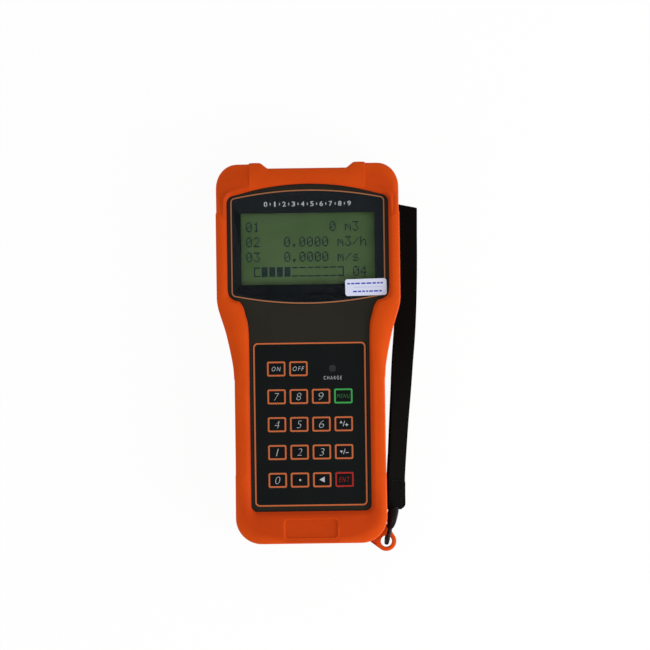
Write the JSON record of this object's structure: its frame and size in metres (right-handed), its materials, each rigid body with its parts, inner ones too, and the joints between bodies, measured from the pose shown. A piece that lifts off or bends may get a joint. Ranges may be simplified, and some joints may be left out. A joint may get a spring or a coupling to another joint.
{
  "type": "ultrasonic flow meter",
  "caption": "Handheld ultrasonic flow meter in an orange rubber boot, with keys that press, a display, sensor sockets, charger and serial ports, and a wrist strap that swings.",
  "frame": {"origin": "middle of the footprint of the boot and its eyelet, on the plane the meter lies on", "axes": "+Z out of the display, +Y towards the sensor sockets, +X to the reader's right"},
  "size_m": [0.1132, 0.2188, 0.0395],
  "materials": {
    "boot_rubber": "satin",
    "case_plastic": "fine grain",
    "gasket_rubber": "matt",
    "panel_print": "satin print",
    "window_plastic": "clear",
    "film_plastic": "clear film",
    "tab_print": "white label",
    "sheet_plastic": "clear amber",
    "key_print": "satin print",
    "key_green": "satin print",
    "key_red": "satin print",
    "lamp_plastic": "smoked, unlit",
    "spring_steel": "bright",
    "display_glass": "green",
    "display_frame": "black oxide",
    "light_guide": "white",
    "board_laminate": "green lacquer",
    "black_plastic": "moulded",
    "nickel": "nickel plated",
    "ring_red": "moulded",
    "ring_blue": "moulded",
    "insert_plastic": "moulded",
    "cell_sleeve": "shrink sleeve",
    "screw_steel": "zinc",
    "insert_brass": "knurled",
    "strap_weave": "woven nylon"
  },
  "bodies": {
    "meter": {"protective_boot": "boot_rubber", "front_shell": "case_plastic", "rear_shell": "case_plastic", "shell_gasket": "gasket_rubber", "screen_panel": "panel_print", "screen_lens": "window_plastic", "screen_film": "film_plastic", "film_tab": "tab_print", "keypad_overlay": "panel_print", "keypad_spacer": "sheet_plastic", "keypad_circuit": "sheet_plastic", "key_domes": "spring_steel", "charge_led": "lamp_plastic", "lcd_glass": "display_glass", "lcd_bezel": "display_frame", "lcd_backlight": "light_guide", "lcd_board": "board_laminate", "lcd_header": "black_plastic", "main_board": "board_laminate", "board_chips": "black_plastic", "keypad_tail": "sheet_plastic", "buzzer": "black_plastic", "upstream_socket": "nickel", "downstream_socket": "nickel", "upstream_ring": "ring_red", "downstream_ring": "ring_blue", "socket_nuts": "nickel", "socket_inserts": "insert_plastic", "charger_jack": "black_plastic", "serial_port": "nickel", "serial_insert": "black_plastic", "jack_screws": "nickel", "battery_cells": "cell_sleeve", "battery_holder": "black_plastic", "battery_contacts": "spring_steel", "case_screws": "screw_steel", "board_screws": "screw_steel", "screw_inserts": "insert_brass"},
    "key_on_button": {"key_on": "key_print"},
    "key_off_button": {"key_off": "key_print"},
    "key_7_button": {"key_7": "key_print"},
    "key_8_button": {"key_8": "key_print"},
    "key_9_button": {"key_9": "key_print"},
    "key_menu_button": {"key_menu": "key_green"},
    "key_4_button": {"key_4": "key_print"},
    "key_5_button": {"key_5": "key_print"},
    "key_6_button": {"key_6": "key_print"},
    "key_up_button": {"key_up": "key_print"},
    "key_1_button": {"key_1": "key_print"},
    "key_2_button": {"key_2": "key_print"},
    "key_3_button": {"key_3": "key_print"},
    "key_down_button": {"key_down": "key_print"},
    "key_0_button": {"key_0": "key_print"},
    "key_point_button": {"key_point": "key_print"},
    "key_left_button": {"key_left": "key_print"},
    "key_enter_button": {"key_enter": "key_red"},
    "strap": {"strap_webbing": "strap_weave", "strap_cord": "strap_weave"}
  },
  "joints": [
    {"name": "key_on_press", "type": "slide", "parent": "meter", "child": "key_on_button", "axis": [0, 0, -1], "range_m": [0, 0.0004], "stiffness_N_per_m": 500},
    {"name": "key_off_press", "type": "slide", "parent": "meter", "child": "key_off_button", "axis": [0, 0, -1], "range_m": [0, 0.0004], "stiffness_N_per_m": 500},
    {"name": "key_7_press", "type": "slide", "parent": "meter", "child": "key_7_button", "axis": [0, 0, -1], "range_m": [0, 0.0004], "stiffness_N_per_m": 500},
    {"name": "key_8_press", "type": "slide", "parent": "meter", "child": "key_8_button", "axis": [0, 0, -1], "range_m": [0, 0.0004], "stiffness_N_per_m": 500},
    {"name": "key_9_press", "type": "slide", "parent": "meter", "child": "key_9_button", "axis": [0, 0, -1], "range_m": [0, 0.0004], "stiffness_N_per_m": 500},
    {"name": "key_menu_press", "type": "slide", "parent": "meter", "child": "key_menu_button", "axis": [0, 0, -1], "range_m": [0, 0.0004], "stiffness_N_per_m": 500},
    {"name": "key_4_press", "type": "slide", "parent": "meter", "child": "key_4_button", "axis": [0, 0, -1], "range_m": [0, 0.0004], "stiffness_N_per_m": 500},
    {"name": "key_5_press", "type": "slide", "parent": "meter", "child": "key_5_button", "axis": [0, 0, -1], "range_m": [0, 0.0004], "stiffness_N_per_m": 500},
    {"name": "key_6_press", "type": "slide", "parent": "meter", "child": "key_6_button", "axis": [0, 0, -1], "range_m": [0, 0.0004], "stiffness_N_per_m": 500},
    {"name": "key_up_press", "type": "slide", "parent": "meter", "child": "key_up_button", "axis": [0, 0, -1], "range_m": [0, 0.0004], "stiffness_N_per_m": 500},
    {"name": "key_1_press", "type": "slide", "parent": "meter", "child": "key_1_button", "axis": [0, 0, -1], "range_m": [0, 0.0004], "stiffness_N_per_m": 500},
    {"name": "key_2_press", "type": "slide", "parent": "meter", "child": "key_2_button", "axis": [0, 0, -1], "range_m": [0, 0.0004], "stiffness_N_per_m": 500},
    {"name": "key_3_press", "type": "slide", "parent": "meter", "child": "key_3_button", "axis": [0, 0, -1], "range_m": [0, 0.0004], "stiffness_N_per_m": 500},
    {"name": "key_down_press", "type": "slide", "parent": "meter", "child": "key_down_button", "axis": [0, 0, -1], "range_m": [0, 0.0004], "stiffness_N_per_m": 500},
    {"name": "key_0_press", "type": "slide", "parent": "meter", "child": "key_0_button", "axis": [0, 0, -1], "range_m": [0, 0.0004], "stiffness_N_per_m": 500},
    {"name": "key_point_press", "type": "slide", "parent": "meter", "child": "key_point_button", "axis": [0, 0, -1], "range_m": [0, 0.0004], "stiffness_N_per_m": 500},
    {"name": "key_left_press", "type": "slide", "parent": "meter", "child": "key_left_button", "axis": [0, 0, -1], "range_m": [0, 0.0004], "stiffness_N_per_m": 500},
    {"name": "key_enter_press", "type": "slide", "parent": "meter", "child": "key_enter_button", "axis": [0, 0, -1], "range_m": [0, 0.0004], "stiffness_N_per_m": 500},
    {"name": "strap_swing", "type": "hinge", "parent": "meter", "child": "strap", "pos_m": [0.0416, -0.10385, 0.012], "axis": [0, 0, 1], "range_deg": [-225, 0]}
  ]
}
